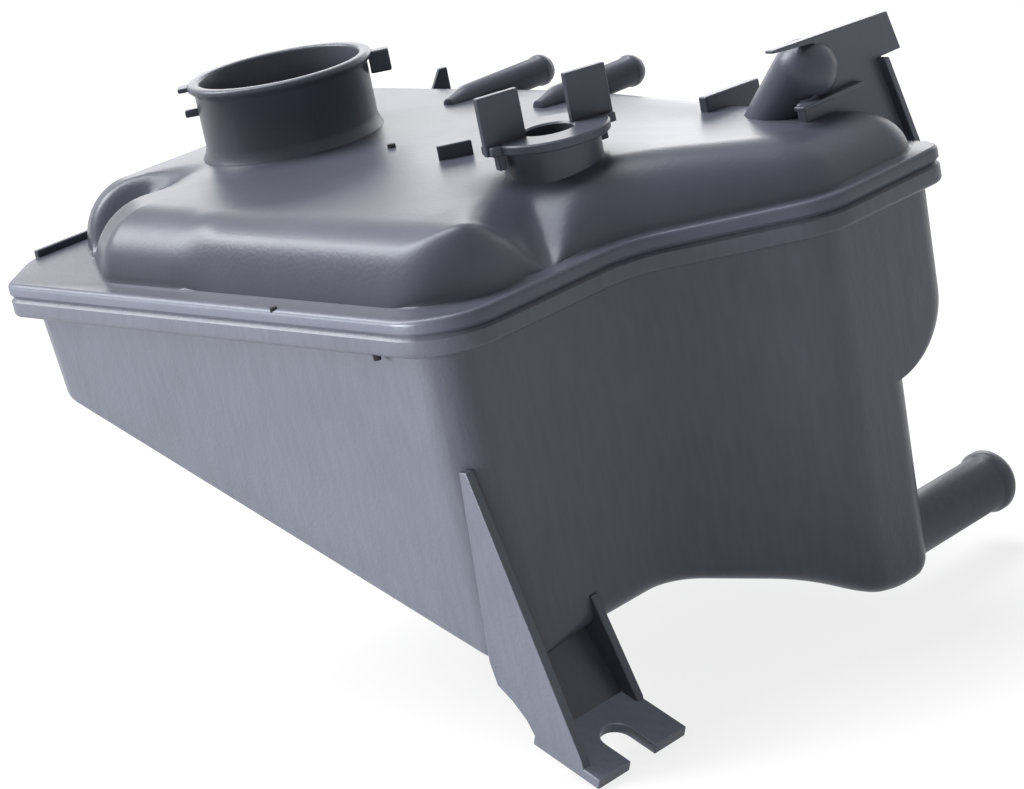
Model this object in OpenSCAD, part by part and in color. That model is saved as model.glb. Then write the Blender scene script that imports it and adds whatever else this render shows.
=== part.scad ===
// Coolant expansion tank of an engine bay, welded at a flange from two moulded shells.
// In plan, x runs across from the left edge of the flange, y along from its near edge to the shallow end.
// Heights are above the top face of the flange. The origin is the centre of the filler neck's mouth.

/* [Flange] */
// Width of the flange
flange_w = 183; // [175:1:190]
// Length of the flange along its left edge
flange_l = 228; // [220:1:240]
// Where the near edge turns into the slanted edge
slant_x = 78; // [70:1:84]
// Width of the slanted edge in plan
slant_w = 46; // [40:1:52]
// How far the deep side stands out past the near edge
deep_out = 39; // [32:1:44]
// Thickness of the upper half of the flange
upper_flange_t = 5; // [4:0.5:6]
// Thickness of the lower half of the flange
lower_flange_t = 6.5; // [5:0.5:8]
// Radius of the flange's upper and lower edges
flange_edge_r = 1.6; // [0.8:0.2:2]
// Wall of both shells
wall = 3; // [2.5:0.1:3.5]

/* [Dome] */
// Height of the dome's shoulder above the flange
dome_h = 20; // [17:0.5:23]
// Rise of the dome's middle over its shoulder
crown_h = 1.6; // [0:0.1:3]
// Fall of the dome's shoulder towards the deep back corner
back_fall = 5.5; // [0:0.5:7]
// Radius of the rolled shoulder
shoulder_r = 20; // [16:0.5:24]
// Width in plan of the lobe's steep end wall
nose_w = 8; // [5:0.5:12]
// Length in plan over which the valley beside the lobe fades out
valley_l = 41; // [32:1:48]
// Width of the lobe's slope down to the valley
valley_w = 21; // [16:1:26]
// Length in plan over which the groove at the shallow end fades out
groove_l = 50; // [40:1:56]
// Width of the lobe's slope down to the groove
groove_w = 24; // [18:1:34]

/* [Tub] */
// Depth of the tub's floor below the flange, at the near edge
tub_depth = 114.5; // [104:0.5:125]
// Rise of the floor for each millimetre towards the shallow end
floor_slope = 0.36; // [0.3:0.01:0.4]
// Extra depth of the sump in the deep corner
sump_drop = 9; // [4:1:14]
// Radius between the walls and the floor
floor_r = 9; // [6:0.5:11]
// How far the upper part of the back wall stands out
bulge_out = 23; // [14:0.5:26]

/* [Filler neck] */
// Distance of the neck's axis from the left edge
neck_x = 98; // [92:1:104]
// Distance of the neck's axis from the near edge
neck_y = 167.5; // [160:0.5:172]
// Height of the mouth above the flange
neck_top = 46.5; // [42:0.5:50]
// Radius of the bore
neck_bore_r = 27.2; // [24:0.1:28]
// Thickness of the neck's wall
neck_wall = 2.1; // [1.8:0.1:3]
// Radius of the lip
lip_r = 31.4; // [30.8:0.1:33]
// Thickness of the lip
lip_t = 2.4; // [2:0.1:4]

/* [Level sensor port] */
// Distance of the port's axis from the left edge
port_x = 86; // [82:1:90]
// Distance of the port's axis from the near edge
port_y = 33; // [30:0.5:36]
// Turn of the port's clips in plan
port_turn = -18; // [-30:1:0]
// Radius of the port's bore, between the clips
port_bore_r = 7.8; // [6:0.1:8.4]
// Radius of the boss
port_boss_r = 15.3; // [14.5:0.1:16.5]
// Radius of the collar
collar_r = 18.8; // [17.5:0.1:20]
// Height of the collar's top above the flange
collar_top = 31; // [29:0.5:34]
// Width of a clip plate
clip_w = 14; // [10:0.5:15]
// Thickness of a clip plate
clip_t = 2.6; // [2:0.1:3.5]
// Height of the clips' tops above the flange
clip_top = 46; // [42:0.5:50]

/* [Hose spigots] */
// Outer radius of a degassing spigot
degas_r = 5; // [4:0.25:5.5]
// Bore radius of a degassing spigot
degas_bore_r = 3; // [2:0.25:3.5]
// Height of the degassing spigots' axes above the flange
degas_z = 20.5; // [19:0.5:22]
// Distance of the first degassing spigot from the near edge
degas_y = 93.5; // [88:0.5:98]
// Distance between the two degassing spigots
degas_pitch = 43; // [38:1:48]
// Outer radius of the outlet
outlet_r = 9.3; // [8.5:0.1:10]
// Bore radius of the outlet
outlet_bore_r = 6.9; // [6:0.1:7.5]
// Height of the bead that keeps the hose on the outlet
bead_h = 1.1; // [0.6:0.1:1.6]
// Distance of the outlet's axis from the near edge
outlet_y = -21; // [-22:0.5:-18]
// Depth of the outlet's axis below the flange
outlet_depth = 120.5; // [117:0.5:122]
// Distance of the outlet's tip from the left edge
outlet_tip_x = 202; // [196:1:208]

/* [Bracket] */
// Thickness of the bracket's plates
bracket_t = 3.5; // [2.5:0.5:5]
// Height of the bracket's top above the flange
bracket_top = 41; // [38:0.5:44]
// How far the bracket stands out past the flange
bracket_out = 11.5; // [9:0.5:15]
// Radius of the bolt hole
bolt_r = 4.2; // [3:0.1:5]

/* [Fork foot] */
// Width of the slot
slot_w = 11; // [8:0.5:12]
// Length of the slot
slot_l = 15.5; // [13:0.5:17]
// Width of the foot
foot_w = 38; // [34:1:42]
// Thickness of the foot
foot_t = 3.5; // [2.5:0.5:5]
// Slope of the foot
foot_slope = 23; // [18:1:26]
// Depth of the foot's tip below the flange
foot_depth = 138.5; // [132:0.5:144]
// How far the foot's tip stands out past the near edge
foot_out = 21; // [18:1:24]

/* [Hidden] */
$fn = 48;

upper_color = [0.42, 0.43, 0.48];
lower_color = [0.36, 0.37, 0.41];

// Points along each rounded corner and between corners, in the order of the outlines' corners
arc_steps = [9, 7, 5, 6, 5, 4, 4];
edge_steps = [10, 5, 3, 6, 4, 9, 9];

// Outline of the flange: each corner is x, y and its radius
chamfer_x = 24;
chamfer_y = 21.5;
flange_corners = [
    [0, 0, 22],
    [slant_x, 0, 30],
    [slant_x + slant_w, -deep_out, 30],
    [flange_w, -deep_out, 9],
    [flange_w, flange_l, 12],
    [chamfer_x, flange_l, 20],
    [0, flange_l - chamfer_y, 8]
];

// Setbacks of the dome from the flange, edge by edge
dome_setbacks = [6.5, 5, 5, 3.5, 5, 0, 9];
dome_radii = [27, 30, 26, 15, 18, 16, 14];
// The dome's shallow end is cut off at a slant between these two places
dome_slant_start = flange_l - 61.5;
dome_slant_end = 45;
dome_square = moved_in(flange_corners, dome_setbacks, dome_radii);
dome_corners = [
    for (i = [0 : 6])
        i < 5 ? dome_square[i]
        : i == 5 ? [dome_slant_end, flange_l - dome_setbacks[4], dome_radii[5]]
        : [dome_setbacks[6], dome_slant_start, dome_radii[6]]
];

// Setbacks of the tub's walls from the flange, at the flange and at the floor
tub_radii = [14, 26, 24, 11, 16, 12, 12];
tub_top_setbacks = [7.5, 3.5, 4.5, 2, 14.5, 9, 4];
tub_low_setbacks = [6, 3.5, 6.5, 2, 17.5, 11, 6];
tub_top_corners = moved_in(flange_corners, tub_top_setbacks, tub_radii);
tub_low_corners = moved_in(flange_corners, tub_low_setbacks, tub_radii);
// The bulge of the back wall rounds in between these shares of the wall's height
bulge_from = 0.3;
bulge_to = 0.48;
// Draft of the back wall from the flange to the floor
back_draft = 2;

// The valley beside the lobe and the groove at the shallow end: where each starts and its heading
valley_foot = [52, dome_setbacks[0]];
valley_heading = 47;
valley_far_w = 16;
groove_foot = [32.5, flange_l - 25];
groove_heading = -35;
groove_far_w = 8;
fillet = 2;

seam_z = -upper_flange_t;
flange_bottom = seam_z - lower_flange_t;
seam_gap = 1.2;

// Lines and corners in plan

function unit(v) = v / norm(v);
function left_of(v) = [-v[1], v[0]];
function xy(p) = [p[0], p[1]];
function mix(a, b, t) = a * (1 - t) + b * t;
function smooth(t) = let (s = min(1, max(0, t))) s * s * (3 - 2 * s);
function at(list, i) = list[(i + len(list)) % len(list)];
function way(c, i) = unit(xy(at(c, i + 1)) - xy(at(c, i)));

// A corner after its two edges have moved in by a and b
function moved_corner(p, into, out, a, b) =
    let (n = left_of(into), m = left_of(out), d = n[0] * m[1] - n[1] * m[0])
    p + [a * m[1] - b * n[1], b * n[0] - a * m[0]] / d;

// An outline whose edges have moved in, each by its own setback
function moved_in(c, setbacks, radii) = [
    for (i = [0 : len(c) - 1])
        let (p = moved_corner(xy(c[i]), way(c, i - 1), way(c, i), at(setbacks, i - 1), setbacks[i]))
        [p[0], p[1], radii[i]]
];

// The turn at a corner in degrees, positive where the outline is convex
function turn(c, i) =
    let (a = way(c, i - 1), b = way(c, i))
    atan2(a[0] * b[1] - a[1] * b[0], a * b);

// A corner's radius after the outline has moved in by d: convex corners tighten and concave ones open
function corner_radius(c, i, d) = turn(c, i) > 0 ? max(c[i][2] - d, 1) : c[i][2] + d;

// Points of a rounded corner whose edges have moved in by d
function corner_points(c, i, d) =
    let (
        a = way(c, i - 1),
        b = way(c, i),
        t = turn(c, i),
        r = corner_radius(c, i, d),
        p = moved_corner(xy(c[i]), a, b, d, d),
        start = p - a * r * tan(abs(t) / 2),
        side = t > 0 ? 1 : -1,
        centre = start + side * r * left_of(a),
        from = atan2(-side * left_of(a)[1], -side * left_of(a)[0])
    )
    [
        for (k = [0 : arc_steps[i]])
            let (w = from + t * k / arc_steps[i])
            centre + r * [cos(w), sin(w)]
    ];

// The whole outline moved in by d, with the same number of points for every d
function ring(c, d) =
    let (arcs = [for (i = [0 : len(c) - 1]) corner_points(c, i, d)])
    [
        for (i = [0 : len(c) - 1])
            let (arc = arcs[i], from = arc[len(arc) - 1], to = at(arcs, i + 1)[0])
            each concat(arc, [for (k = [1 : edge_steps[i] - 1]) mix(from, to, k / edge_steps[i])])
    ];

function lifted(points, z) = [for (p = points) [p[0], p[1], z]];

// Faces of a closed skin through rings of n points, capped by a fan at each end
function skin_faces(rings, n) =
    let (first = rings * n, last = first + 1)
    concat(
        [for (k = [0 : n - 1]) [first, k, (k + 1) % n]],
        [
            for (j = [0 : rings - 2], k = [0 : n - 1])
                each [
                    [j * n + k, (j + 1) * n + k, (j + 1) * n + (k + 1) % n],
                    [j * n + k, (j + 1) * n + (k + 1) % n, j * n + (k + 1) % n]
                ]
        ],
        [for (k = [0 : n - 1]) [last, (rings - 1) * n + (k + 1) % n, (rings - 1) * n + k]]
    );

module skin(rings, first, last) {
    polyhedron(
        points = concat([for (r = rings) each r], [first, last]),
        faces = skin_faces(len(rings), len(rings[0])),
        convexity = 8
    );
}

// Height of the dome

// Share of the full height at s shoulder widths inside the foot
function rolled(s) = let (u = 1 - min(1, max(0, s))) sqrt(1 - u * u);

// Share of the height left by a groove that starts at foot. Its floor rises over run.
// Its slopes are left_w wide on the left of its heading and right_w wide on the right.
function grooved(p, foot, heading, run, left_w, right_w) =
    let (
        v = p - foot,
        u = [cos(heading), sin(heading)],
        deep = sin(90 * min(1, max(0, v * u) / run)),
        off = left_of(u) * v,
        e = sqrt(off * off + fillet * fillet) - fillet
    )
    mix(deep, 1, sin(90 * min(1, e / (off > 0 ? left_w : right_w))));

// The lobe's end wall is steep, and every other side is rolled
function rolled_share(p) =
    max(smooth((p[0] - valley_foot[0] + 4) / 10), smooth((p[1] - flange_l / 2) / 20));

// How much lower the shoulder is towards the deep back corner
function shoulder_fall(p) =
    back_fall * smooth((p[0] - flange_w / 2) / 60) * smooth((flange_l / 2 - p[1]) / 120);

// Height of the dome at plan point p, which lies d inside its foot
function dome_z(p, d) =
    let (
        share = rolled_share(p),
        side = rolled(d / mix(nose_w, shoulder_r, share)),
        left = mix(rolled((p[0] - dome_setbacks[6]) / shoulder_r), 1, share),
        valley = grooved(p, valley_foot, valley_heading, valley_l, valley_w, valley_far_w),
        groove = grooved(p, groove_foot, groove_heading, groove_l, groove_far_w, groove_w)
    )
    (dome_h - shoulder_fall(p)) * side * left * valley * groove + crown_h * smooth(d / 50);

function dome_ring(d) = [for (p = ring(dome_corners, d)) [p[0], p[1], dome_z(p, d)]];
function dome_inner_ring(d) =
    [for (p = ring(dome_corners, d + wall)) [p[0], p[1], dome_z(p, d) - wall]];

dome_insets = [0.7, 1.8, 3.5, 5.5, 8, 11, 14.5, 19, 24];
dome_inner_insets = [0.5, 2.5, 6, 11, 18, 22];
dome_middle = [flange_w / 2 + 4, flange_l / 2 - 18];
deepest = 24;

// Rings past the deepest inset are that ring shrunk by s towards the middle
function dome_shrunk(s) = [
    for (p = ring(dome_corners, deepest))
        let (q = mix(p, dome_middle, s))
        [q[0], q[1], dome_z(q, mix(deepest, 2 * deepest, s))]
];

module dome_skin() {
    edge = flange_edge_r;
    rings = concat(
        [for (k = [len(dome_inner_insets) - 1 : -1 : 0]) dome_inner_ring(dome_inner_insets[k])],
        [lifted(ring(dome_corners, wall), seam_z)],
        [lifted(ring(flange_corners, seam_gap), seam_z)],
        [lifted(ring(flange_corners, 0), seam_z + seam_gap)],
        [
            for (w = [0 : 30 : 90])
                lifted(ring(flange_corners, edge * (1 - cos(w))), -edge * (1 - sin(w)))
        ],
        [lifted(ring(dome_corners, 0), 0)],
        [for (d = dome_insets) dome_ring(d)],
        [for (s = [0.15, 0.35, 0.65]) dome_shrunk(s)]
    );
    top = dome_h + crown_h;
    skin(rings, concat(dome_middle, [top - wall]), concat(dome_middle, [top]));
}

// Tub

// Height of the floor at plan point p
function floor_z(p) =
    -tub_depth + floor_slope * p[1]
    - sump_drop * smooth((p[0] - slant_x - slant_w / 2) / 40) * smooth((10 - p[1]) / 45);

// Height of the rounding between wall and floor: low along the left face, full along the other walls
function floor_rise(p) = mix(0.4, 1, smooth((p[0] - 12) / 30)) * floor_r;

// How far the back wall has come in at share f of the height: a round bulge, then a straight wall
function back_step(f) =
    bulge_out * (1 - rolled((bulge_to - f) / (bulge_to - bulge_from))) + back_draft * f;

// Corners of the tub's outline at share f of its height, downwards
function tub_corners(f) = [
    for (i = [0 : 6])
        let (c = mix(tub_top_corners[i], tub_low_corners[i], f), back = i == 3 || i == 4)
        [c[0] - (back ? back_step(f) : 0), c[1], c[2]]
];

// Ring of the tub at share f, moved in by d and raised by up
function tub_wall_ring(f, d, up) = [
    for (p = ring(tub_corners(f), d))
        [p[0], p[1], mix(flange_bottom, floor_z(p) + floor_rise(p), f) + up]
];
function tub_floor_ring(w, d, up) = [
    for (p = ring(tub_corners(1), d + floor_r * (1 - cos(w))))
        [p[0], p[1], floor_z(p) + floor_rise(p) * (1 - sin(w)) + up]
];
function tub_flat_ring(d, up) = [
    for (p = ring(tub_corners(1), d)) [p[0], p[1], floor_z(p) + up]
];

// Shares of the height at which the walls have a ring, outside and inside
function bulge_share(w) = mix(bulge_from, bulge_to, sin(w));
tub_shares = concat([0, 0.15], [for (w = [0, 22, 45, 65, 80, 90]) bulge_share(w)], [0.75, 1]);
tub_inner_shares = concat([0.1], [for (w = [0, 45, 70, 90]) bulge_share(w)], [1]);

module tub_skin() {
    edge = flange_edge_r;
    middle = [(flange_w - bulge_out) / 2, flange_l / 2 - 20];
    rings = concat(
        [tub_flat_ring(floor_r + 26, 0), tub_flat_ring(floor_r + 10, 0)],
        [for (w = [90 : -30 : 30]) tub_floor_ring(w, 0, 0)],
        [for (k = [len(tub_shares) - 1 : -1 : 0]) tub_wall_ring(tub_shares[k], 0, 0)],
        [
            for (w = [90 : -30 : 0])
                lifted(ring(flange_corners, edge * (1 - cos(w))), flange_bottom + edge * (1 - sin(w)))
        ],
        [lifted(ring(flange_corners, 0), seam_z - seam_gap)],
        [lifted(ring(flange_corners, seam_gap), seam_z)],
        [lifted(ring(tub_top_corners, wall), seam_z)],
        [for (f = tub_inner_shares) tub_wall_ring(f, wall, wall)],
        [for (w = [45 : 45 : 90]) tub_floor_ring(w, wall, wall)],
        [tub_flat_ring(floor_r + wall + 20, wall)]
    );
    floor_middle = floor_z(middle);
    skin(rings, concat(middle, [floor_middle]), concat(middle, [floor_middle + wall]));
}

// Filler neck

neck_foot = dome_h - 3;
module filler_neck() {
    h = neck_top - neck_foot;
    body_r = neck_bore_r + neck_wall;
    translate([neck_x, neck_y, neck_foot]) rotate_extrude() polygon([
        [neck_bore_r - 0.6, 0],
        [body_r + 1, 0],
        [body_r + 0.8, 4.4],
        [body_r, 5.4],
        [body_r, h - lip_t - 1.2],
        [lip_r - 0.5, h - lip_t],
        [lip_r, h - lip_t + 0.5],
        [lip_r, h - 0.6],
        [lip_r - 0.6, h],
        [neck_bore_r - 0.6, h]
    ]);
    translate([neck_x, neck_y, neck_top]) rotate(neck_lug_turn) {
        lip_stop();
        rotate(180) lip_catch();
    }
}

// Block beside the lip that stops the cap's turn
neck_lug_turn = -42;
module lip_stop() {
    translate([lip_r - 1.5, -2.4, -1 - 7.5]) cube([7, 4.8, 7.5]);
}

// Tab on the lip with the small peg under it
module lip_catch() {
    translate([lip_r - 1.5, -3.5, -lip_t + 0.3]) cube([4.5, 7, lip_t - 0.8]);
    translate([neck_bore_r + 1, -1.3, -11]) cube([5.6, 2.6, 2.6]);
}

module filler_neck_bore() {
    translate([neck_x, neck_y, 0]) cylinder(r = neck_bore_r, h = neck_top + 1);
}

// Level sensor port

port_foot = 8;
collar_t = 3;
module sensor_port() {
    translate([port_x, port_y, 0]) rotate(port_turn) {
        translate([0, 0, port_foot]) cylinder(r = port_boss_r, h = collar_top - 0.5 - port_foot);
        translate([0, 0, collar_top - collar_t]) cylinder(r = collar_r, h = collar_t);
        for (side = [0, 180]) rotate(side) clip();
    }
}

// One upright clip with its ribbed foot and the peg beside it
module clip() {
    inner = port_bore_r + 0.2;
    translate([inner, -clip_t / 2, collar_top - collar_t])
        cube([clip_w, clip_t, clip_top - collar_top + collar_t]);
    translate([collar_r - 2, -4, collar_top - collar_t]) cube([4.5, 8, collar_t]);
    translate([collar_r - 2.5, -1.6, collar_top - 8]) cube([2.5, 3.2, 6]);
}

// The bore opens into a wider well under the collar
port_well_r = 12;
seat_t = 4;
module sensor_port_bore() {
    translate([port_x, port_y, 0]) {
        cylinder(r = port_well_r, h = collar_top - seat_t);
        cylinder(r = port_bore_r, h = collar_top + 1);
    }
}

// Degassing spigots

degas_root = flange_w - 36;
degas_tip = flange_w + 6;
degas_fair_l = 9;
degas_places = [degas_y, degas_y + degas_pitch];
module degas_spigot() {
    l = degas_tip - degas_root;
    translate([degas_root, 0, degas_z]) rotate([0, 90, 0]) rotate_extrude() polygon([
        [0, 0],
        [degas_r / 2, 0],
        [degas_r, degas_fair_l],
        [degas_r, l - 4.4],
        [degas_r + 0.5, l - 3.8],
        [degas_r + 0.5, l - 1.8],
        [degas_r, l - 1.2],
        [degas_r - 0.5, l],
        [0, l]
    ]);
}

module degas_bore() {
    translate([degas_root + 6, 0, degas_z]) rotate([0, 90, 0])
        cylinder(r = degas_bore_r, h = degas_tip - degas_root);
}

// Bracket

bracket_edge = flange_w + bracket_out;
bracket_y = -13.5;
bracket_low = -upper_flange_t - 2;
head_h = 16;
lip_l = 44;
lip_end_t = 1.5;
top_fall = 3;
plate_l = 34;
rim_w = 2.5;
rim_out = 3;
// The outer side leans: it is set back by these under the head and at the flange
head_back = 6;
foot_lead = 3.5;

// Upright plate seen from the front: the lip that runs out to the left, the part under the ledge,
// the leaning side, the head
function bracket_outline() = [
    [flange_w - lip_l, bracket_top],
    [flange_w - lip_l, bracket_top - lip_end_t],
    [flange_w - 25, bracket_top - 3.5],
    [flange_w - 16, bracket_top - 14],
    [flange_w - plate_l, ledge_z + ledge_t],
    [flange_w - plate_l, dome_h - 10],
    [flange_w - 14, -1],
    [bracket_edge + foot_lead, bracket_low],
    [bracket_edge - head_back, bracket_top - head_h],
    [bracket_edge + 4, bracket_top - head_h],
    [bracket_edge, bracket_top - top_fall]
];

module upright(y, t, points) {
    translate([0, y + t, 0]) rotate([90, 0, 0]) linear_extrude(t) polygon(points);
}

// Rim that stands in front of the plate along its leaning side
module bracket_rim() {
    upright(bracket_y - rim_out, bracket_t + rim_out, [
        [bracket_edge - head_back - rim_w, bracket_top - head_h],
        [bracket_edge - head_back, bracket_top - head_h],
        [bracket_edge + foot_lead, bracket_low],
        [bracket_edge + foot_lead - rim_w, bracket_low]
    ]);
}

// Ledge in front of the plate
ledge_z = 19.5;
ledge_l = 30;
ledge_t = 2;
module bracket_ledge() {
    translate([flange_w - 8 - ledge_l, bracket_y - rim_out, ledge_z]) cube([ledge_l, rim_out + 1, ledge_t]);
}

// Brace between the plate and the neck, on the dome's back shoulder
brace_y = 30;
brace_top = 21.5;
brace_w = 26;
module bracket_brace() {
    upright(brace_y, bracket_t, [
        [flange_w - 4 - brace_w, brace_top - 12],
        [flange_w - 4, -1],
        [flange_w - 4, brace_top - 1],
        [flange_w - 4 - brace_w, brace_top]
    ]);
}

module bracket() {
    upright(bracket_y, bracket_t, bracket_outline());
    bracket_rim();
    bracket_ledge();
    bracket_brace();
    bolt_boss();
}

// The boss slopes down from the plate into the dome's shoulder
boss_at = [flange_w - 24, -7.5, 29];
boss_r = 10;
boss_l = 28;
boss_lean = 42;
module bolt_boss() {
    round_end = [for (w = [0 : 10 : 80]) boss_r * [cos(w), sin(w)]];
    translate(boss_at) rotate([boss_lean, 0, 0]) rotate_extrude()
        polygon(concat([[0, -boss_l], [boss_r, -boss_l]], round_end, [[0, boss_r * sin(80)]]));
}

// The bolt comes from behind, into a blind hole above the boss's centre
bolt_depth = 6;
bolt_rise = 2;
module bolt_bore() {
    translate(boss_at + [0, -bolt_depth, bolt_rise]) rotate([-90, 0, 0])
        cylinder(r = bolt_r, h = bolt_depth + 2 * boss_r);
}

// Small marks on the dome and the rib along the flange's far edge

mark_t = 2.5;
module hose_stop() {
    translate([neck_x - 18, 77.5, dome_h - 1]) rotate(-40) cube([11, mark_t, 7]);
}

module back_lug() {
    translate([flange_w - 16, flange_l - 52, dome_h - 6]) rotate([90, 0, -30])
        linear_extrude(mark_t) polygon([[0, 0], [9, 0], [9, 11], [6, 11]]);
}

far_rib_h = 3.4;
module far_rib() {
    translate([chamfer_x + 2, flange_l - 3, -1]) cube([flange_w - 62, mark_t, far_rib_h]);
}

// Outlet

module outlet() {
    root = flange_w - bulge_out - 12;
    l = outlet_tip_x - root;
    translate([root, outlet_y, -outlet_depth]) rotate([0, 90, 0]) rotate_extrude() polygon([
        [0, 0],
        [outlet_r, 0],
        [outlet_r, l - 7],
        [outlet_r + bead_h, l - 5],
        [outlet_r + bead_h, l - 2.5],
        [outlet_r, l - 0.8],
        [outlet_r - 0.8, l],
        [0, l]
    ]);
}

module outlet_bore() {
    root = flange_w - bulge_out - 16;
    translate([root, outlet_y, -outlet_depth]) rotate([0, 90, 0])
        cylinder(r = outlet_bore_r, h = outlet_tip_x - root + 1);
}

// Fork foot

foot_x = 5.5;
foot_back = 3;
gusset_t = 3;
// Heights at which the two gussets leave the wall, and how far their ends stay back from the foot's tip
left_gusset_z = -47;
right_gusset_z = -99;
left_gusset_back = 6;
right_gusset_back = 15.5;
module foot_plate() {
    rise = (foot_out + foot_back) / cos(foot_slope);
    translate([foot_x, -foot_out, -foot_depth]) rotate([foot_slope, 0, 0]) difference() {
        translate([0, 0, -foot_t]) cube([foot_w, rise, foot_t]);
        translate([foot_w / 2, slot_l - slot_w / 2, -foot_t - 1]) {
            cylinder(r = slot_w / 2, h = foot_t + 2);
            translate([-slot_w / 2, -slot_l, 0]) cube([slot_w, slot_l, foot_t + 2]);
        }
    }
}

module gusset(points) {
    rotate([90, 0, 90]) linear_extrude(gusset_t) polygon(points);
}

// Height of the foot's upper face at plan distance y from the near edge
function foot_z(y) = -foot_depth + (y + foot_out) * tan(foot_slope);

// The left gusset runs up the wall, and its back edge follows the underside of the floor
module left_gusset() {
    tip = left_gusset_back - foot_out;
    gusset([
        [9, left_gusset_z],
        [12, left_gusset_z],
        [16, right_gusset_z - 8],
        [14.5, floor_z([0, 14.5]) - 5],
        [9.5, -118.5],
        [5, -124],
        [1.5, foot_z(1.5) - 2],
        [-4.5, foot_z(-4.5) - 2],
        [tip, foot_z(tip) - 1],
        [tip, foot_z(tip) + 2.5]
    ]);
}

module right_gusset() {
    tip = right_gusset_back - foot_out;
    gusset([
        [5.5, right_gusset_z],
        [14, right_gusset_z - 5],
        [14, floor_z([0, 14]) - 2.5],
        [5, -124],
        [1.5, foot_z(1.5) - 2],
        [tip, foot_z(tip) - 1],
        [tip, foot_z(tip) + 1]
    ]);
}

// Panel between the gussets, set back under the edge of the floor
panel_y = 12;
module foot_panel() {
    translate([gusset_t / 2, 0, 0]) rotate([90, 0, 90]) linear_extrude(foot_w - gusset_t) polygon([
        [panel_y, floor_z([0, panel_y]) + 2],
        [panel_y + 3, floor_z([0, panel_y]) + 2],
        [3, foot_z(3) - 2],
        [-1, foot_z(-1) - 2]
    ]);
}

module foot() {
    foot_plate();
    translate([foot_x, 0, 0]) {
        left_gusset();
        translate([foot_w - gusset_t, 0, 0]) right_gusset();
        foot_panel();
    }
}

module upper_shell() {
    color(upper_color) difference() {
        union() {
            dome_skin();
            filler_neck();
            sensor_port();
            for (y = degas_places) translate([0, y, 0]) degas_spigot();
            bracket();
            hose_stop();
            back_lug();
            far_rib();
        }
        filler_neck_bore();
        sensor_port_bore();
        for (y = degas_places) translate([0, y, 0]) degas_bore();
        bolt_bore();
    }
}

module lower_shell() {
    color(lower_color) difference() {
        union() {
            tub_skin();
            outlet();
            foot();
        }
        outlet_bore();
    }
}

module in_place() {
    translate([-neck_x, -neck_y, -neck_top]) children();
}

in_place() upper_shell();
in_place() lower_shell();
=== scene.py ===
# Looks of the coolant expansion tank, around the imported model. Lengths in the plan frame are millimetres:
# x from the flange's left edge, y from its near edge, z from its top face. solid() takes them to the part's
# frame, in metres from the centre of the filler neck's mouth.

import math

import bpy
import numpy as np
from mathutils import Matrix, Vector


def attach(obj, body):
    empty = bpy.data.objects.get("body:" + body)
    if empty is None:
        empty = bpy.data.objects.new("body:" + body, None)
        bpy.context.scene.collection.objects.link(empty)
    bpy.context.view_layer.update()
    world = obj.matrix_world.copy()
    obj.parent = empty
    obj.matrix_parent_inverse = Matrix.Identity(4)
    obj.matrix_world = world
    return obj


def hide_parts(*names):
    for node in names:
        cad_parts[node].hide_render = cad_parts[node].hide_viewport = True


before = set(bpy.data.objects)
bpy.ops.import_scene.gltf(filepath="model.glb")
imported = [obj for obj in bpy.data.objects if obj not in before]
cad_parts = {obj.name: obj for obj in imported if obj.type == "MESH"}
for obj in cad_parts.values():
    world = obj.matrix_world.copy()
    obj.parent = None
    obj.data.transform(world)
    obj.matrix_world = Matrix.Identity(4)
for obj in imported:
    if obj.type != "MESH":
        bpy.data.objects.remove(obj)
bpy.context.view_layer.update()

NECK = np.array([98.0, 167.5, 46.5])  # the centre of its mouth

# Plan outlines

FLANGE_W, FLANGE_L = 183.0, 228.0
SLANT_X, SLANT_W, DEEP_OUT = 78.0, 46.0, 39.0
UPPER_T, LOWER_T, EDGE_R, WALL = 5.0, 6.5, 1.6, 3.0
DOME_H, CROWN_H, SHOULDER_R, NOSE_W, BACK_FALL = 20.0, 1.6, 20.0, 8.0, 5.5
SEAM_Z = -UPPER_T
FLANGE_BOTTOM = SEAM_Z - LOWER_T
SEAM_GAP = 1.2
LAND_IN = EDGE_R + 0.6  # where the dome's own plate ends inside the flange's edge
LEAST_R = 1.0


def unit(v):
    return v / np.linalg.norm(v)


def left_of(v):
    return np.array([-v[1], v[0]])


def smooth(t):
    s = np.clip(t, 0, 1)
    return s * s * (3 - 2 * s)


def mix(a, b, t):
    return a * (1 - t) + b * t


def way(c, i):
    n = len(c)
    return unit(c[(i + 1) % n][:2] - c[i % n][:2])


def moved_corner(p, into, out, a, b):
    n, m = left_of(into), left_of(out)
    d = n[0] * m[1] - n[1] * m[0]
    return p + np.array([a * m[1] - b * n[1], b * n[0] - a * m[0]]) / d


def moved_in(c, setbacks, radii):
    out = []
    for i in range(len(c)):
        p = moved_corner(c[i][:2], way(c, i - 1), way(c, i), setbacks[i - 1], setbacks[i])
        out.append([p[0], p[1], radii[i]])
    return np.array(out)


def turn(c, i):
    a, b = way(c, i - 1), way(c, i)
    return math.atan2(a[0] * b[1] - a[1] * b[0], a @ b)


ARC_STEPS = [26, 18, 18, 20, 18, 14, 14]  # points round each corner
EDGE_STEPS = [36, 12, 14, 70, 34, 40, 46]  # points along each side


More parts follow.
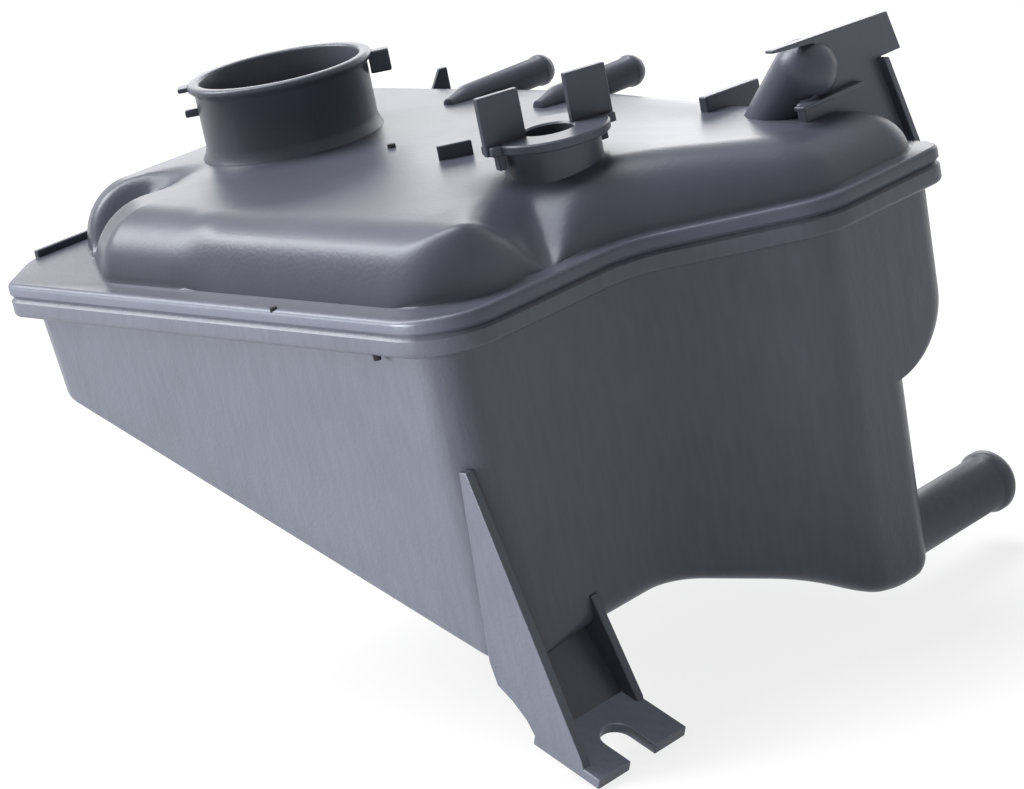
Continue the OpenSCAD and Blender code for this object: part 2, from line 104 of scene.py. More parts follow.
def ring(c, d):
    """The rounded outline moved in by d, with the same number of points for every d."""
    n = len(c)
    arcs = []
    for i in range(n):
        a, b, t = way(c, i - 1), way(c, i), turn(c, i)
        r = max(c[i][2] - d, LEAST_R) if t > 0 else c[i][2] + d
        p = moved_corner(c[i][:2], a, b, d, d)
        start = p - a * r * math.tan(abs(t) / 2)
        side = 1 if t > 0 else -1
        centre = start + side * r * left_of(a)
        first = math.atan2(-side * left_of(a)[1], -side * left_of(a)[0])
        w = first + t * np.linspace(0, 1, ARC_STEPS[i] + 1)
        arcs.append(centre + r * np.stack([np.cos(w), np.sin(w)], 1))
    out = []
    for i in range(n):
        out.append(arcs[i])
        s = np.linspace(0, 1, EDGE_STEPS[i] + 1)[1:-1, None]
        out.append(mix(arcs[i][-1], arcs[(i + 1) % n][0], s))
    return np.concatenate(out)


def lifted(points, z):
    return np.column_stack([points, np.broadcast_to(z, len(points))])


CHAMFER_X, CHAMFER_Y = 24.0, 19.0
# Corners as x, y and radius, against the clock from the near left one
FLANGE = np.array([
    [0, 0, 22],
    [SLANT_X, 0, 30],
    [SLANT_X + SLANT_W, -DEEP_OUT, 30],
    [FLANGE_W, -DEEP_OUT, 9],
    [FLANGE_W, FLANGE_L, 12],
    [CHAMFER_X, FLANGE_L, 20],
    [0, FLANGE_L - CHAMFER_Y, 8],
], float)

DOME_SETBACKS = [6.5, 5, 5, 3.5, 5, 0, 9]
DOME = moved_in(FLANGE, DOME_SETBACKS, [27, 30, 26, 15, 18, 16, 14])
SLANT_START = FLANGE_L - 61.5
DOME[5] = [45, FLANGE_L - DOME_SETBACKS[4], 16]
DOME[6] = [DOME_SETBACKS[6], SLANT_START, 14]

# Dome

VALLEY_FOOT, VALLEY_HEADING = np.array([52.0, 6.5]), 53.0
VALLEY_L, VALLEY_W, VALLEY_FAR_W = 46.0, 24.0, 19.0
GROOVE_FOOT, GROOVE_HEADING = np.array([32.5, FLANGE_L - 25]), -35.0
GROOVE_L, GROOVE_W, GROOVE_FAR_W = 50.0, 24.0, 8.0
FILLET = 2.0
NOSE_BLEND_START, NOSE_BLEND_X, NOSE_BLEND_Y = VALLEY_FOOT[0] - 4, 10.0, 20.0
FALL_X, FALL_Y, CROWN_RUN = 60.0, 120.0, 50.0


def rolled(s):
    """A quarter round: 0 at s = 0, upright there, and level at 1."""
    u = 1 - np.clip(s, 0, 1)
    return np.sqrt(1 - u * u)


def grooved(p, foot, heading, run, near_w, far_w):
    """The share of its height that the dome keeps at p, beside a groove that runs inwards from its foot."""
    v = p - foot
    u = np.array([math.cos(math.radians(heading)), math.sin(math.radians(heading))])
    deep = np.sin(np.pi / 2 * np.clip(v @ u / run, 0, 1))
    off = v @ left_of(u)
    e = np.sqrt(off * off + FILLET * FILLET) - FILLET
    width = np.where(off > 0, near_w, far_w)
    return mix(deep, 1, np.sin(np.pi / 2 * np.minimum(1, e / width)))


def dome_z(p, d):
    share = np.maximum(smooth((p[:, 0] - NOSE_BLEND_START) / NOSE_BLEND_X),
                       smooth((p[:, 1] - FLANGE_L / 2) / NOSE_BLEND_Y))
    side = rolled(d / mix(NOSE_W, SHOULDER_R, share))
    left = mix(rolled((p[:, 0] - DOME_SETBACKS[6]) / SHOULDER_R), 1, share)
    valley = grooved(p, VALLEY_FOOT, VALLEY_HEADING, VALLEY_L, VALLEY_W, VALLEY_FAR_W)
    groove = grooved(p, GROOVE_FOOT, GROOVE_HEADING, GROOVE_L, GROOVE_FAR_W, GROOVE_W)
    fall = BACK_FALL * smooth((p[:, 0] - FLANGE_W / 2) / FALL_X) * smooth((FLANGE_L / 2 - p[:, 1]) / FALL_Y)
    return (DOME_H - fall) * side * left * valley * groove + CROWN_H * smooth(d / CROWN_RUN)


DEEPEST, INNER_DEEPEST = 24.0, 20.0  # the widest insets of the rings, outside and inside
DOME_MIDDLE = np.array([FLANGE_W / 2 + 4, FLANGE_L / 2 - 18])


def dome_ring(d, moved=0.0, drop=0.0):
    p = ring(DOME, d + moved)
    return lifted(p, dome_z(p, d) - drop)


def dome_shrunk(s, drop=0.0):
    p = mix(ring(DOME, DEEPEST), DOME_MIDDLE, s)
    return lifted(p, dome_z(p, mix(DEEPEST, 2 * DEEPEST, s)) - drop)


def dome_rings():
    """From the middle of the inside, down to the seam, out to the flange and up over the dome."""
    insets = DEEPEST * (1 - np.cos(np.linspace(0, np.pi / 2, 34)))[1:]
    shares = np.linspace(0, 1, 20)[1:-1]
    inner = INNER_DEEPEST * (1 - np.cos(np.linspace(0, np.pi / 2, 12)))[1:]
    rings = [dome_shrunk(s, WALL) for s in shares[::-2]]
    rings += [dome_ring(d, WALL, WALL) for d in inner[::-1]]
    rings += [lifted(ring(DOME, WALL), SEAM_Z), lifted(ring(FLANGE, LAND_IN), SEAM_Z)]
    rings += [lifted(ring(FLANGE, LAND_IN), 0)]
    rings += [lifted(ring(DOME, -1.2), 0.05), lifted(ring(DOME, -0.3), 0.35)]
    rings += [dome_ring(d) for d in insets]
    rings += [dome_shrunk(s) for s in shares]
    return rings


def flange_rings():
    """The upper flange's edge, from its underside round to its top."""
    turns = np.radians(np.linspace(0, 90, 7))
    rings = [lifted(ring(FLANGE, 2 * EDGE_R), SEAM_Z), lifted(ring(FLANGE, SEAM_GAP), SEAM_Z)]
    rings += [lifted(ring(FLANGE, 0), SEAM_Z + SEAM_GAP)]
    rings += [lifted(ring(FLANGE, EDGE_R * (1 - math.cos(w))), -EDGE_R * (1 - math.sin(w))) for w in turns]
    return rings + [lifted(ring(FLANGE, LAND_IN), 0.0), lifted(ring(FLANGE, 2 * EDGE_R), -0.3)]


# Tub

TUB_DEPTH, FLOOR_SLOPE, SUMP_DROP, FLOOR_R, BULGE_OUT = 114.5, 0.36, 9.0, 9.0, 23.0
BULGE_FROM, BULGE_TO, BACK_DRAFT = 0.3, 0.48, 2.0
SUMP_START, SUMP_X, SUMP_Y = 10.0, 40.0, 45.0
LEFT_RISE, LEFT_RISE_START, LEFT_RISE_X = 0.4, 12.0, 30.0
TUB_RADII = [14, 26, 24, 11, 16, 12, 12]
TUB_TOP = moved_in(FLANGE, [7.5, 3.5, 4.5, 2, 14.5, 9, 4], TUB_RADII)
TUB_LOW = moved_in(FLANGE, [6, 3.5, 6.5, 2, 17.5, 11, 6], TUB_RADII)


def floor_z(p):
    sump = smooth((p[:, 0] - SLANT_X - SLANT_W / 2) / SUMP_X) * smooth((SUMP_START - p[:, 1]) / SUMP_Y)
    return -TUB_DEPTH + FLOOR_SLOPE * p[:, 1] - SUMP_DROP * sump


def floor_rise(p):
    """The height of the floor's rounding, which is smaller along the left wall."""
    return mix(LEFT_RISE, 1, smooth((p[:, 0] - LEFT_RISE_START) / LEFT_RISE_X)) * FLOOR_R


def tub_corners(f):
    c = mix(TUB_TOP, TUB_LOW, f)
    step = BULGE_OUT * (1 - rolled((BULGE_TO - f) / (BULGE_TO - BULGE_FROM))) + BACK_DRAFT * f
    c[3:5, 0] -= step
    return c


def tub_wall_ring(f, d=0.0, up=0.0):
    p = ring(tub_corners(f), d)
    return lifted(p, mix(FLANGE_BOTTOM, floor_z(p) + floor_rise(p), f) + up)


def tub_floor_ring(w, d=0.0, up=0.0):
    p = ring(tub_corners(1), d + FLOOR_R * (1 - math.cos(w)))
    return lifted(p, floor_z(p) + floor_rise(p) * (1 - math.sin(w)) + up)


def tub_flat_ring(d, up=0.0):
    p = ring(tub_corners(1), d)
    return lifted(p, floor_z(p) + up)


TUB_MIDDLE = np.array([(FLANGE_W - BULGE_OUT) / 2, FLANGE_L / 2 - 20])


def tub_shrunk(s, up=0.0):
    p = mix(ring(tub_corners(1), FLOOR_R + 4), TUB_MIDDLE, s)
    return lifted(p, floor_z(p) + up)


def tub_rings():
    """From the middle of the floor, up the wall, round the lower flange and back down the inside."""
    turns = np.radians(np.linspace(0, 90, 9))

    def bulge(steps):
        return mix(BULGE_FROM, BULGE_TO, np.sin(np.linspace(0, np.pi / 2, steps)))

    shares = np.concatenate([np.linspace(0, 0.28, 10), bulge(16), [0.49, 0.51, 0.55], np.linspace(0.6, 1, 12)])
    inner = np.concatenate([np.linspace(0.1, 0.27, 3), bulge(7), np.linspace(0.55, 1, 4)])
    rings = [tub_shrunk(s) for s in np.linspace(0, 1, 12)[-2::-1]]
    rings += [tub_floor_ring(w) for w in turns[::-1][:-1]]
    rings += [tub_wall_ring(f) for f in shares[::-1]]
    rings += [lifted(ring(FLANGE, EDGE_R * (1 - math.cos(w))), FLANGE_BOTTOM + EDGE_R * (1 - math.sin(w)))
              for w in turns[::-1]]
    rings += [lifted(ring(FLANGE, 0), SEAM_Z - SEAM_GAP), lifted(ring(FLANGE, SEAM_GAP), SEAM_Z)]
    rings += [lifted(ring(TUB_TOP, WALL), SEAM_Z)]
    rings += [tub_wall_ring(f, WALL, WALL) for f in inner]
    rings += [tub_floor_ring(w, WALL, WALL) for w in turns[2::2]]
    rings += [tub_shrunk(s, WALL) for s in (0.1, 0.4, 0.7)]
    return rings


# Meshes

SHARP = 35.0


def solid(name, points, faces, sharp=SHARP):
    """A mesh object from points in the plan frame."""
    mesh = bpy.data.meshes.new(name)
    mesh.from_pydata([tuple(v) for v in (np.asarray(points) - NECK) * 0.001], [], faces)
    mesh.validate()
    mesh.polygons.foreach_set("use_smooth", [True] * len(mesh.polygons))
    mesh.set_sharp_from_angle(angle=math.radians(sharp))
    obj = bpy.data.objects.new(name, mesh)
    bpy.context.scene.collection.objects.link(obj)
    return obj


def skin(name, rings, sharp=SHARP):
    """A closed skin through rings of the same number of points."""
    n = len(rings[0])
    k = np.arange(n)
    faces = []
    for j in range(len(rings) - 1):
        a, b = j * n + k, j * n + (k + 1) % n
        faces += np.stack([a, a + n, b + n, b], 1).tolist()
    points = np.concatenate(rings + [rings[0].mean(0)[None], rings[-1].mean(0)[None]])
    first, last = len(points) - 2, len(points) - 1
    top = (len(rings) - 1) * n
    faces += [[first, int(a), int(b)] for a, b in zip(k, (k + 1) % n)]
    faces += [[last, int(top + b), int(top + a)] for a, b in zip(k, (k + 1) % n)]
    return solid(name, points, faces, sharp)


def band(name, rings):
    """A closed band: rings of the same number of points, the last joined to the first."""
    n, m = len(rings[0]), len(rings)
    k = np.arange(n)
    faces = []
    for j in range(m):
        a, b = j * n, (j + 1) % m * n
        faces += np.stack([a + k, a + (k + 1) % n, b + (k + 1) % n, b + k], 1).tolist()
    return solid(name, np.concatenate(rings), faces)


def place(at, x_turn=0.0, y_turn=0.0, z_turn=0.0):
    """A placement: turned about x, y and z in this order, in degrees, then moved."""
    turns = (Matrix.Rotation(math.radians(z_turn), 4, "Z") @ Matrix.Rotation(math.radians(y_turn), 4, "Y")
             @ Matrix.Rotation(math.radians(x_turn), 4, "X"))
    return np.array(Matrix.Translation(at) @ turns)


def carried(m, points):
    """Points taken through a placement."""
    p = np.column_stack([np.asarray(points, float), np.ones(len(points))])
    return (p @ m.T)[:, :3]


def turned(name, profile, m, steps=96, sharp=SHARP):
    """A body of revolution: a closed profile of (radius, height) about the placement's z axis."""
    w = np.linspace(0, 2 * np.pi, steps, endpoint=False)
    pts, n = [], len(profile)
    for r, h in profile:
        pts.append(np.column_stack([r * np.cos(w), r * np.sin(w), np.full(steps, h)]))
    k = np.arange(steps)
    faces = []
    for j in range(n):
        a, b = j * steps, ((j + 1) % n) * steps
        faces += np.stack([a + k, a + (k + 1) % steps, b + (k + 1) % steps, b + k], 1).tolist()
    return solid(name, carried(m, np.concatenate(pts)), faces, sharp)


def prism(name, outline, depth, m, bevel=0.5):
    """An outline in the placement's xy plane, raised by depth, with softened edges."""
    n = len(outline)
    low = [(x, y, 0.0) for x, y in outline]
    high = [(x, y, depth) for x, y in outline]
    faces = [list(range(n))[::-1], list(range(n, 2 * n))]
    faces += [[i, (i + 1) % n, n + (i + 1) % n, n + i] for i in range(n)]
    obj = solid(name, carried(m, low + high), faces)
    if bevel:
        soften(obj, bevel)
    return obj


def soften(obj, width):
    mod = obj.modifiers.new("soft_edges", "BEVEL")
    mod.width = width * 0.001
    mod.segments = 3
    mod.limit_method = "ANGLE"
    mod.angle_limit = math.radians(30)


def block(name, low, high, m, bevel=0.5):
    x0, y0, z0 = low
    x1, y1, z1 = high
    return prism(name, [(x0, y0), (x1, y0), (x1, y1), (x0, y1)], z1 - z0, m @ place((0, 0, z0)), bevel)


def upright(name, y, t, outline, bevel=0.5):
    """A plate that stands in the xz plane, from y to y + t."""
    m = place((0, y + t, 0), x_turn=90)
    return prism(name, outline, t, m, bevel)


def cut(target, cutters):
    """Takes the cutters out of the target, and drops them."""
    for c in cutters:
        mod = target.modifiers.new("cut", "BOOLEAN")
        mod.operation = "DIFFERENCE"
        mod.solver = "EXACT"
        mod.object = c
        bpy.context.view_layer.objects.active = target
        target.select_set(True)
        bpy.ops.object.modifier_apply(modifier=mod.name)
        target.select_set(False)
        bpy.data.objects.remove(c)
    target.data.polygons.foreach_set("use_smooth", [True] * len(target.data.polygons))
    target.data.set_sharp_from_angle(angle=math.radians(SHARP))


# Upper shell

NECK_R, NECK_WALL, LIP_R, LIP_T = 27.2, 2.1, 31.4, 2.4
PORT, PORT_TURN, PORT_HOLE_R = (86.0, 33.0), -18, 12.6
HOLE_Z = (8, 30)  # the holes go through the dome's skin between these heights
AXIS = 0.001  # a radius small enough to close a turned body on its axis
HERE = place((0, 0, 0))
upper, lower = [], []


def rod(name, r, heights, at):
    low, high = heights
    return turned(name, [(AXIS, low), (r, low), (r, high), (AXIS, high)], place((at[0], at[1], 0)))



dome = skin("dome", dome_rings())
cut(dome, [rod("neck_hole", NECK_R + 0.4, HOLE_Z, NECK), rod("port_hole", PORT_HOLE_R, HOLE_Z, PORT)])
upper.append(dome)
edge = band("upper_flange", flange_rings())
upper.append(edge)

NECK_H = NECK[2]
body_r = NECK_R + NECK_WALL
neck_profile = [
    (NECK_R, 16.8), (body_r + 2.2, 17.5), (body_r + 2.0, 20.6), (body_r + 1.3, 21.6), (body_r + 0.7, 22.8),
    (body_r + 0.2, 24.2), (body_r, 25.5), (body_r, NECK_H - LIP_T - 1.6),
    (body_r + 0.5, NECK_H - LIP_T - 0.9), (LIP_R - 0.6, NECK_H - LIP_T),
    (LIP_R - 0.1, NECK_H - LIP_T + 0.5), (LIP_R, NECK_H - 1.3), (LIP_R - 0.25, NECK_H - 0.5),
    (LIP_R - 0.9, NECK_H - 0.02),
    (NECK_R + 0.9, NECK_H - 0.02), (NECK_R + 0.3, NECK_H - 0.3), (NECK_R, NECK_H - 0.9),
]
upper.append(turned("filler_neck", neck_profile, place((NECK[0], NECK[1], 0)), steps=128, sharp=50))
turn_m = place((NECK[0], NECK[1], NECK_H), z_turn=-42)
upper.append(block("lip_stop", (LIP_R - 1.5, -2.4, -8.5), (LIP_R + 5.5, 2.4, -1), turn_m, 0.6))
turn_m = place((NECK[0], NECK[1], NECK_H), z_turn=138)
upper.append(block("lip_catch", (LIP_R - 1.5, -3.5, -2.1), (LIP_R + 3, 3.5, -0.5), turn_m, 0.5))
upper.append(block("lip_peg", (NECK_R + 1, -1.3, -11), (NECK_R + 6.6, 1.3, -8.4), turn_m, 0.6))

port_profile = [
    (12, 8), (15.3, 8), (15.3, 27.2), (16.2, 28), (18.3, 28), (18.8, 28.5), (18.8, 30.5), (18.3, 31),
    (8.4, 31), (7.8, 30.4), (7.8, 27), (12, 27),
]
upper.append(turned("sensor_port", port_profile, place((PORT[0], PORT[1], 0)), sharp=40))
for side in (0, 180):
    m = place((PORT[0], PORT[1], 0), z_turn=PORT_TURN + side)
    upper.append(block("clip_%d" % side, (8, -1.3, 28), (22, 1.3, 46), m, 0.4))
    upper.append(block("clip_foot_%d" % side, (16.8, -4, 28), (21.3, 4, 31), m, 0.5))
    upper.append(block("clip_rib_%d" % side, (16.3, -1.6, 23), (18.8, 1.6, 29), m, 0.4))

DEGAS_Z, DEGAS_ROOT, DEGAS_TIP = 20.5, FLANGE_W - 42, FLANGE_W + 6
reach = DEGAS_TIP - DEGAS_ROOT
degas_profile = [
    (3, 6), (4.2, 6), (5, 9), (5, reach - 4.4), (5.4, reach - 3.9), (5.5, reach - 3.6), (5.5, reach - 2),
    (5.3, reach - 1.6), (5, reach - 1.2), (4.9, reach - 0.6), (4.5, reach), (3.3, reach), (3, reach - 0.3),
]
root_profile = [(AXIS, 0), (2, 0), (2.6, 0.4), (4.6, 7.5), (AXIS, 7.5)]
for i, y in enumerate((93.5, 136.5)):
    m = place((DEGAS_ROOT, y, DEGAS_Z), y_turn=90)
    upper.append(turned("degas_spigot_%d" % i, degas_profile, m, steps=64, sharp=50))
    upper.append(turned("degas_root_%d" % i, root_profile, m, steps=64))

# Bracket: a plate behind the near deep corner, with its rim, ledge, brace and bolt boss

TOP, EDGE, RIM_IN = 41.0, FLANGE_W + 11.5, 6.0
BY, BT, LOW = -13.5, 3.5, -7.0  # the plate's near face, its thickness and its foot
BOLT_X, BOLT_Z, BOLT_R, BOLT_L = FLANGE_W - 24, 31, 4.2, 25
plate = [
    (FLANGE_W - 44, TOP - 0.6), (FLANGE_W - 44, TOP - 1.6), (FLANGE_W - 25, TOP - 3.5), (FLANGE_W - 16, TOP - 14),
    (FLANGE_W - 34, 20.6), (FLANGE_W - 34, 10), (FLANGE_W - 14, -1), (EDGE + 3.5, LOW), (EDGE - RIM_IN, TOP - 16),
    (EDGE + 4, TOP - 16), (EDGE, TOP - 3),
]
upper.append(upright("bracket_plate", BY, BT, plate, 0.5))
rim = [(EDGE - 8.5, TOP - 16), (EDGE - RIM_IN, TOP - 16), (EDGE + 3.5, LOW), (EDGE + 1, LOW)]
upper.append(upright("bracket_rim", BY - 3, BT + 3, rim, 0.4))
upper.append(block("bracket_ledge", (FLANGE_W - 38, BY - 3, 19.8), (FLANGE_W - 8, BY + 1, 21.1), HERE, 0.4))
brace = [(FLANGE_W - 30, 9.5), (FLANGE_W - 4, -1), (FLANGE_W - 4, 20.5), (FLANGE_W - 30, 21.5)]
upper.append(upright("bracket_brace", 30, BT, brace, 0.6))
BOSS_R, BOSS_L = 10.0, 28.0
arc = [(BOSS_R * math.cos(w), BOSS_R * math.sin(w)) for w in np.radians(np.linspace(0, 86, 14))]
boss = turned("bracket_boss", [(AXIS, -BOSS_L), (BOSS_R, -BOSS_L)] + arc + [(AXIS, BOSS_R)],
              place((BOLT_X, -7.5, 29), x_turn=42))
cut(boss, [turned("bolt_hole", [(AXIS, 0), (BOLT_R, 0), (BOLT_R, BOLT_L), (AXIS, BOLT_L)],
                  place((BOLT_X, BY, BOLT_Z), x_turn=-90))])
upper.append(boss)

# Small marks and the rib along the far edge

upper.append(block("hose_stop", (0, 0, 0), (11, 2.5, 7), place((80, 77.5, 19), z_turn=-40), 0.5))
upper.append(prism("back_lug", [(0, 0), (9, 0), (9, 11), (6, 11)], 2.5,
                   place((FLANGE_W - 16, FLANGE_L - 52, 14), z_turn=-30) @ place((0, 0, 0), x_turn=90), 0.4))
upper.append(block("far_rib", (26, FLANGE_L - 3, -1), (FLANGE_W - 36, FLANGE_L - 0.5, 2.4), HERE, 0.6))

# Small pips in a near-black plastic: one on the dome, one at the upper flange's left edge, one on the lower flange's
# rim

pips = [
    turned("pip_dome", [(AXIS, 20.8), (1.5, 20.8), (1.3, 22.6), (AXIS, 22.8)], place((91.7, 111.9, 0)), steps=24),
    turned("pip_flange", [(AXIS, -2), (1.2, -2), (1.1, 0.6), (AXIS, 0.7)], place((1.3, 74, 0)), steps=24),
]
low_pip = turned("pip_rim", [(AXIS, -12.9), (1.2, -12.7), (1.2, -11), (AXIS, -11)], place((1.3, 31.8, 0)), steps=24)

# Lower shell

lower.append(skin("tub", tub_rings()))

OUTLET_ROOT, OUTLET_TIP, OUTLET_Y, OUTLET_Z = FLANGE_W - BULGE_OUT - 12, 202, -21, -120.5
OUTLET_BORE, R, BEAD = 6.9, 9.3, 1.1
reach = OUTLET_TIP - OUTLET_ROOT
outlet_profile = [
    (OUTLET_BORE, 0), (R, 0), (R, reach - 7), (R + 0.3, reach - 6.6), (R + 0.8, reach - 5.6), (R + BEAD, reach - 5),
    (R + BEAD, reach - 2.6), (R + 0.8, reach - 1.9), (R + 0.1, reach - 0.9), (R - 0.4, reach - 0.2),
    (R - 0.9, reach), (OUTLET_BORE + 0.4, reach), (OUTLET_BORE, reach - 0.4),
]
lower.append(turned("outlet", outlet_profile, place((OUTLET_ROOT, OUTLET_Y, OUTLET_Z), y_turn=90), steps=96, sharp=50))

FOOT_X, FOOT_W, FOOT_T, SLOPE, FOOT_DEPTH, FOOT_OUT = 5.5, 38.0, 3.5, 23.0, 138.5, 21.0
SLOT_W, SLOT_L, GUSSET_T = 11.0, 15.5, 3.0
rise = (FOOT_OUT + 3) / math.cos(math.radians(SLOPE))
arc = [(FOOT_W / 2 + SLOT_W / 2 * math.cos(w), SLOT_L - SLOT_W / 2 + SLOT_W / 2 * math.sin(w))
       for w in np.radians(np.linspace(180, 0, 15))]
outline = [(0, 0), (FOOT_W / 2 - SLOT_W / 2, 0)] + arc
outline += [(FOOT_W / 2 + SLOT_W / 2, 0), (FOOT_W, 0), (FOOT_W, rise), (0, rise)]
m = place((FOOT_X, -FOOT_OUT, -FOOT_DEPTH), x_turn=SLOPE) @ place((0, 0, -FOOT_T))
foot = prism("foot_plate", outline, FOOT_T, m, 0.4)
lower.append(foot)


def foot_z(y):
    """The height of the foot plate's top."""
    return -FOOT_DEPTH + (y + FOOT_OUT) * math.tan(math.radians(SLOPE))


def gusset(name, x, t, outline, bevel):
    """A plate that stands in the yz plane, from x to x + t."""
    m = place((x, 0, 0)) @ np.array(Matrix(((0, 0, 1, 0), (1, 0, 0, 0), (0, 1, 0, 0), (0, 0, 0, 1))))
    return prism(name, outline, t, m, bevel)


lower.append(gusset("gusset_left", FOOT_X - 0.04, GUSSET_T, [
    (9, -47), (12, -47), (16, -107), (14.5, -114.3), (9.5, -118.5), (5, -124), (1.5, foot_z(1.5) - 3),
    (-4.5, foot_z(-4.5) - 3.6), (-15, foot_z(-15) - 3.6), (-15, foot_z(-15) + 2.5),
], 0.25))
lower.append(gusset("gusset_right", FOOT_X + FOOT_W - GUSSET_T, GUSSET_T, [
    (5.5, -99), (14, -104), (14, -112), (5, -124), (1.5, foot_z(1.5) - 2), (-5.5, foot_z(-5.5) - 1),
    (-5.5, foot_z(-5.5) + 1),
], 0.4))
lower.append(gusset("foot_panel", FOOT_X + 1.5, FOOT_W - 3, [
    (12, -108.2), (15, -108.2), (3, foot_z(3) - 2), (-1, foot_z(-1) - 2),
], 0.3))

# Material

STREAKS = (420, 420, 70)  # per metre: close across the walls, long down them
SMOOTHEST, ROUGHEST = 0.3, 0.42


def node(tree, kind, **values):
    """A new node, with its properties or inputs set by name."""
    n = tree.nodes.new(kind)
    for k, v in values.items():
        if hasattr(n, k):
            setattr(n, k, v)
        else:
            n.inputs[k].default_value = v
    return n


def plastic(name, dark, light, mottle, grain):
    """Satin moulded polypropylene: a cloudy tone, faint flow streaks down the walls and a fine grain."""
    mat = bpy.data.materials.new(name)
    mat.use_nodes = True
    t = mat.node_tree
    shader = t.nodes["Principled BSDF"]
    shader.inputs["Specular IOR Level"].default_value = 0.36
    shader.inputs["Specular Tint"].default_value = (0.86, 0.92, 1, 1)
    where = node(t, "ShaderNodeTexCoord")
    cloud = node(t, "ShaderNodeTexNoise", Scale=22.0, Detail=5.0, Roughness=0.6)
    t.links.new(where.outputs["Object"], cloud.inputs["Vector"])
    stretch = node(t, "ShaderNodeMapping")
    stretch.inputs["Scale"].default_value = STREAKS
    t.links.new(where.outputs["Object"], stretch.inputs["Vector"])
    streak = node(t, "ShaderNodeTexNoise", Scale=1.0, Detail=3.0, Roughness=0.55)
    t.links.new(stretch.outputs["Vector"], streak.inputs["Vector"])
    both = node(t, "ShaderNodeMix", data_type="FLOAT")
    both.inputs[0].default_value = mottle
    t.links.new(cloud.outputs["Fac"], both.inputs[2])
    t.links.new(streak.outputs["Fac"], both.inputs[3])
    ramp = node(t, "ShaderNodeValToRGB")
    ramp.color_ramp.elements[0].position = 0.3
    ramp.color_ramp.elements[0].color = (*dark, 1)
    ramp.color_ramp.elements[1].position = 0.7
    ramp.color_ramp.elements[1].color = (*light, 1)
    t.links.new(both.outputs[0], ramp.inputs["Fac"])
    t.links.new(ramp.outputs["Color"], shader.inputs["Base Color"])
    rough = node(t, "ShaderNodeMapRange")
    rough.inputs["To Min"].default_value = SMOOTHEST
    rough.inputs["To Max"].default_value = ROUGHEST
    t.links.new(cloud.outputs["Fac"], rough.inputs["Value"])
    t.links.new(rough.outputs["Result"], shader.inputs["Roughness"])
    fine = node(t, "ShaderNodeTexNoise", Scale=900.0, Detail=2.0)
    t.links.new(where.outputs["Object"], fine.inputs["Vector"])
    bump = node(t, "ShaderNodeBump", Strength=grain, Distance=0.0002)
    t.links.new(fine.outputs["Fac"], bump.inputs["Height"])
    wave = node(t, "ShaderNodeBump", Strength=0.25, Distance=0.0006)
    t.links.new(cloud.outputs["Fac"], wave.inputs["Height"])
    t.links.new(bump.outputs["Normal"], wave.inputs["Normal"])
    t.links.new(wave.outputs["Normal"], shader.inputs["Normal"])
    return mat


upper_mat = plastic("upper_plastic", (0.056, 0.06, 0.08), (0.068, 0.073, 0.096), 0.3, 0.25)
lower_mat = plastic("lower_plastic", (0.053, 0.056, 0.072), (0.071, 0.075, 0.095), 0.5, 0.4)
pip_mat = plastic("pip_plastic", (0.012, 0.012, 0.015), (0.02, 0.02, 0.025), 0.3, 0.2)
for pip in pips + [low_pip]:
    pip.data.materials.append(pip_mat)
    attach(pip, "root")
shells = (
    (upper, upper_mat, "upper_moulding", "upper_shell"),
    (lower, lower_mat, "lower_moulding", "lower_shell"),
)
for objs, mat, slot, cad in shells:
    for obj in objs:
        obj.data.materials.clear()
        obj.data.materials.append(mat)
        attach(obj, "root")
    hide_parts(cad)

# Floor, light and camera

FLOOR_HALF, FLOOR_GLOW, SEEN_SHARE = 6, 1.1, 0.74  # half its width in metres, its brightness, the share that glows
ground = bpy.data.meshes.new("ground")
gz = (-FOOT_DEPTH - FOOT_T - NECK[2]) * 0.001
corners = [(-FLOOR_HALF, -FLOOR_HALF), (FLOOR_HALF, -FLOOR_HALF), (FLOOR_HALF, FLOOR_HALF), (-FLOOR_HALF, FLOOR_HALF)]
ground.from_pydata([(x, y, gz) for x, y in corners], [], [(0, 1, 2, 3)])
floor = bpy.data.objects.new("ground", ground)
bpy.context.scene.collection.objects.link(floor)


def seen_rays(tree):
    """1 where the camera or a reflection or a clear material looks, else 0."""
    path = node(tree, "ShaderNodeLightPath")
    out = path.outputs["Is Camera Ray"]
    for kind in ("Is Glossy Ray", "Is Transmission Ray"):
        both = node(tree, "ShaderNodeMath", operation="MAXIMUM")
        tree.links.new(out, both.inputs[0])
        tree.links.new(path.outputs[kind], both.inputs[1])
        out = both.outputs[0]
    return out


# The floor is white to the camera, and keeps a faint shadow

mat = bpy.data.materials.new("ground")
mat.use_nodes = True
t = mat.node_tree
matte = t.nodes["Principled BSDF"]
matte.inputs["Base Color"].default_value = (0.8, 0.8, 0.8, 1)
matte.inputs["Roughness"].default_value = 0.9
bright = node(t, "ShaderNodeEmission", Strength=FLOOR_GLOW)
share = node(t, "ShaderNodeMath", operation="MULTIPLY")
t.links.new(seen_rays(t), share.inputs[0])
share.inputs[1].default_value = SEEN_SHARE
blend = node(t, "ShaderNodeMixShader")
t.links.new(share.outputs[0], blend.inputs[0])
t.links.new(matte.outputs[0], blend.inputs[1])
t.links.new(bright.outputs[0], blend.inputs[2])
t.links.new(blend.outputs[0], t.nodes["Material Output"].inputs["Surface"])
ground.materials.append(mat)


def light_only(obj, pieces):
    group = bpy.data.collections.new(obj.name)
    for piece in pieces:
        group.objects.link(piece)
    obj.light_linking.receiver_collection = group


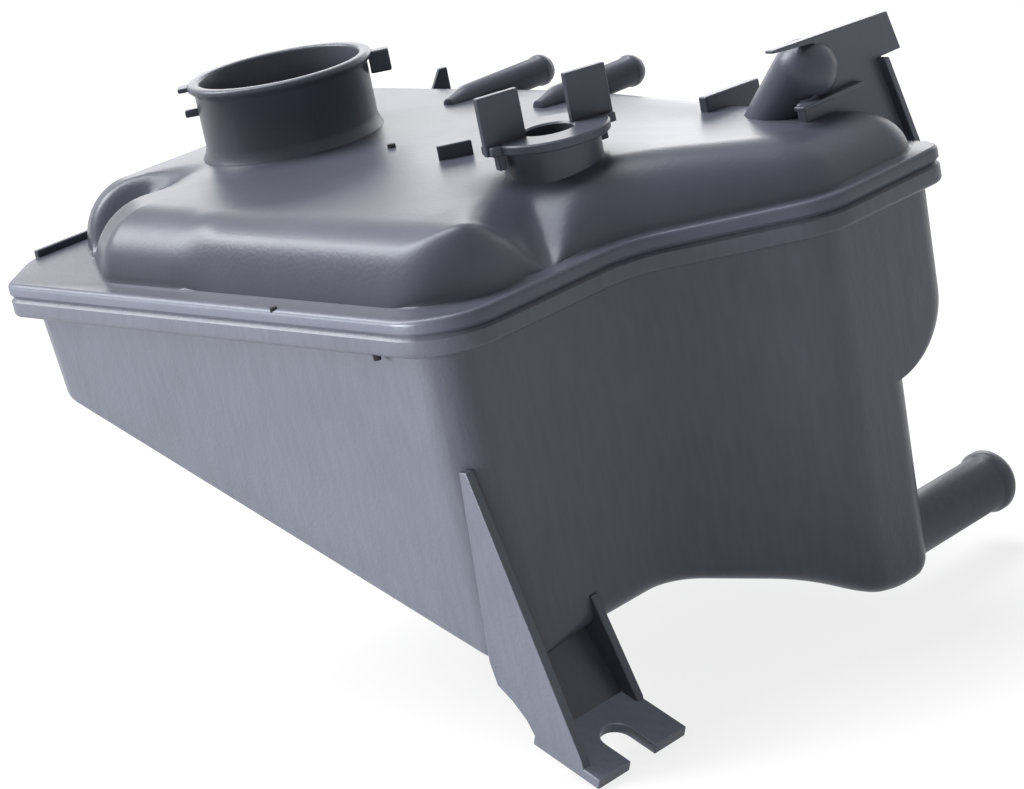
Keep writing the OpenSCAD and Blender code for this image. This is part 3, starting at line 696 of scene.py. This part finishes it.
def sun(name, toward, strength, spread, lit=None):
    """A distant lamp, its spread in degrees. Where lit is given, it lights only these pieces."""
    data = bpy.data.lights.new(name, "SUN")
    data.energy = strength * math.pi
    data.angle = math.radians(spread)
    obj = bpy.data.objects.new(name, data)
    obj.rotation_euler = Vector(toward).to_track_quat("Z", "Y").to_euler()
    bpy.context.scene.collection.objects.link(obj)
    if lit:
        light_only(obj, lit)


def panel(name, at, aim, size, strength, lit):
    """A soft lamp of the given size in metres, which lights only the given pieces."""
    data = bpy.data.lights.new(name, "AREA")
    data.shape = "RECTANGLE"
    data.size, data.size_y = size
    data.energy = strength
    obj = bpy.data.objects.new(name, data)
    facing = (Vector(at) - Vector(aim)).to_track_quat("Z", "Y").to_matrix().to_4x4()
    obj.matrix_world = Matrix.Translation(at) @ facing
    obj.visible_camera = False
    bpy.context.scene.collection.objects.link(obj)
    light_only(obj, lit)


sun("above", (-0.3, 0.62, 0.64), 1.1, 30)
sun("top", (0.05, 0.36, 0.93), 0.8, 34)
sun("side", (-0.88, 0.46, 0.12), 3.2, 30, lower + [edge])
panel("back", (0.42, 0.3, 0.13), (0.03, -0.06, -0.03), (0.6, 0.2), 1.0, upper + lower)
panel("end", (0.5, 0.0, 0.05), (0.07, -0.18, -0.03), (0.5, 0.24), 0.5, upper + lower)
panel("foot", (-0.12, -0.42, 0.12), (-0.07, -0.18, -0.18), (0.15, 0.15), 1.2, [foot])

# The world is white where it is seen, and a dim fill for the rest

world = bpy.data.worlds.new("world")
world.use_nodes = True
bpy.context.scene.world = world
t = world.node_tree
back = t.nodes["Background"]
tone = node(t, "ShaderNodeMix", data_type="RGBA")
tone.inputs[6].default_value = (0.16, 0.16, 0.18, 1)
tone.inputs[7].default_value = (1, 1, 1, 1)
t.links.new(seen_rays(t), tone.inputs[0])
t.links.new(tone.outputs[2], back.inputs["Color"])

# The camera stands where the fit to the photograph puts it

SENSOR, FOCAL_PIXELS, PICTURE_W = 36, 3000, 1024
camera = bpy.data.cameras.new("camera")
camera.sensor_width = SENSOR
camera.lens = SENSOR * FOCAL_PIXELS / PICTURE_W
camera.clip_start = 0.05
eye = bpy.data.objects.new("camera", camera)
facing = Matrix((
    (0.689826, 0.340518, -0.638896),
    (-0.698629, 0.081631, -0.710812),
    (-0.18989, 0.936688, 0.294207),
))
eye.matrix_world = Matrix.Translation((-0.621774, -0.773298, 0.176629)) @ facing.to_4x4()
bpy.context.scene.collection.objects.link(eye)
bpy.context.scene.camera = eye
bpy.context.scene.view_settings.view_transform = "Standard"
